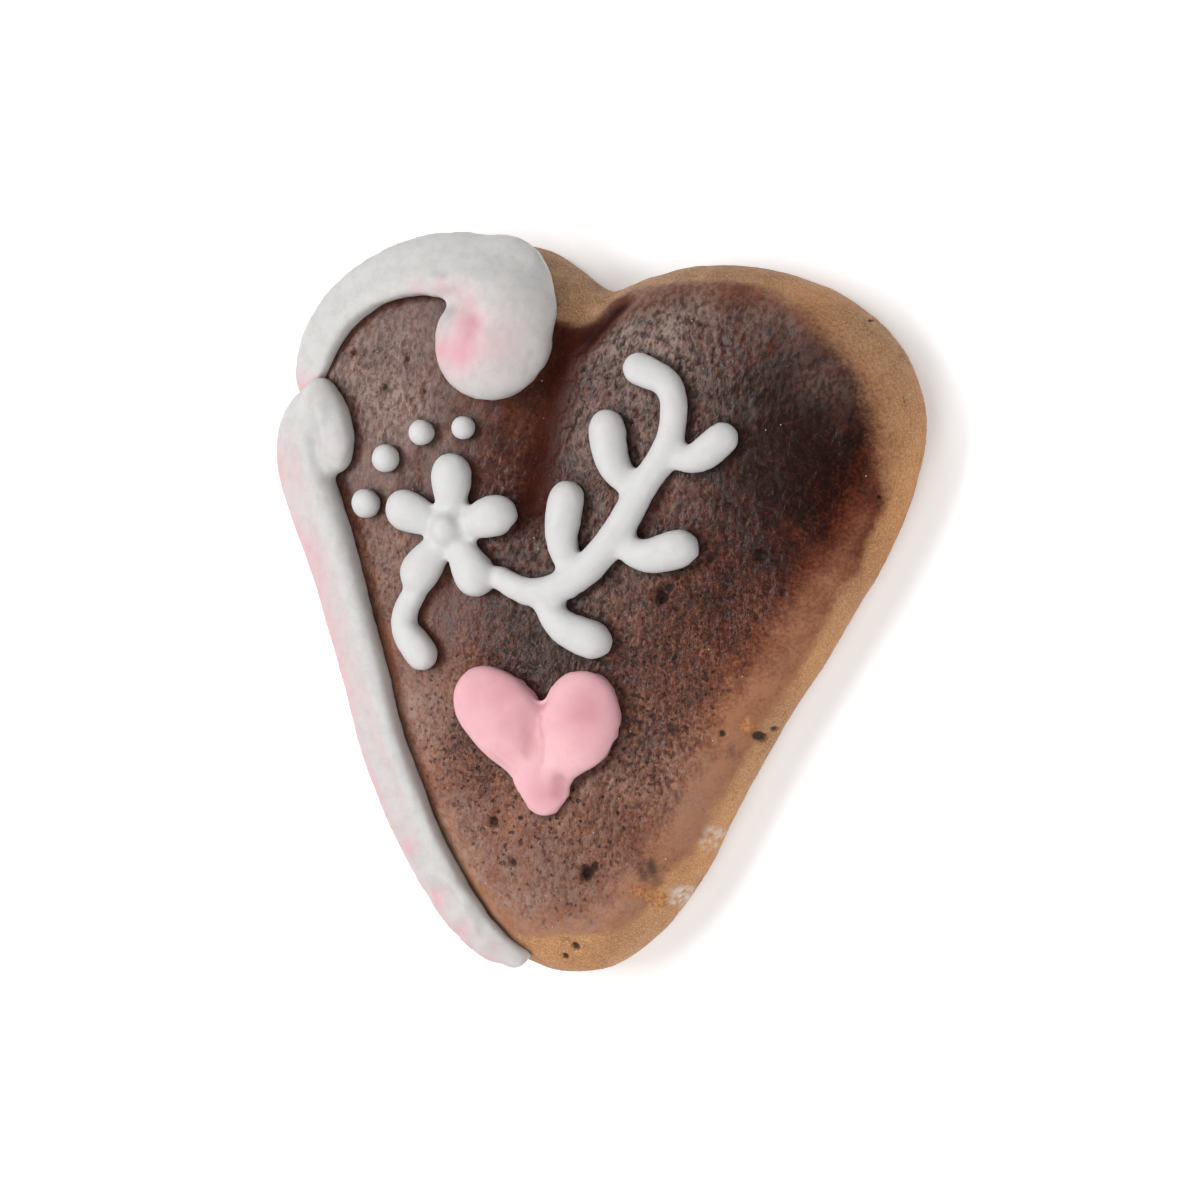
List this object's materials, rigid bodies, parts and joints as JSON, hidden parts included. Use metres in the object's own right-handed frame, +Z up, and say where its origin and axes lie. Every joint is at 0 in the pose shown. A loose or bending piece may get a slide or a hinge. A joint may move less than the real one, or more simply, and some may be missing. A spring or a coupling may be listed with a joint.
{
  "type": "iced gingerbread heart",
  "caption": "Flat-based, heart-shaped gingerbread biscuit with a domed dark glazed top, a thick piped white border on its left side, a piped white flower sprig and a small pink icing heart.",
  "frame": {"origin": "on the flat underside, below the middle of the bounding box", "axes": "+Z up out of the iced top, +Y from the point of the heart towards its notch, +X to the right seen from above with the notch at the far side"},
  "size_m": [0.1008, 0.1068, 0.0175],
  "materials": {
    "glazed_gingerbread": "baked dough, tan on the wall and at the rim, with a thin dark cocoa glaze on top that is satin, wrinkled and full of fine dark pores",
    "white_icing": "dried piped sugar icing, off white, smooth and softly satin, tinted pink in streaks on the border",
    "pink_icing": "dried piped sugar icing in soft rose pink, smooth with a faint sheen"
  },
  "bodies": {
    "root": {"gingerbread": "glazed_gingerbread", "border_scroll": "white_icing", "border_run": "white_icing", "flower_sprig": "white_icing", "dot_1": "white_icing", "dot_2": "white_icing", "dot_3": "white_icing", "dot_4": "white_icing", "pink_heart": "pink_icing"}
  },
  "joints": []
}
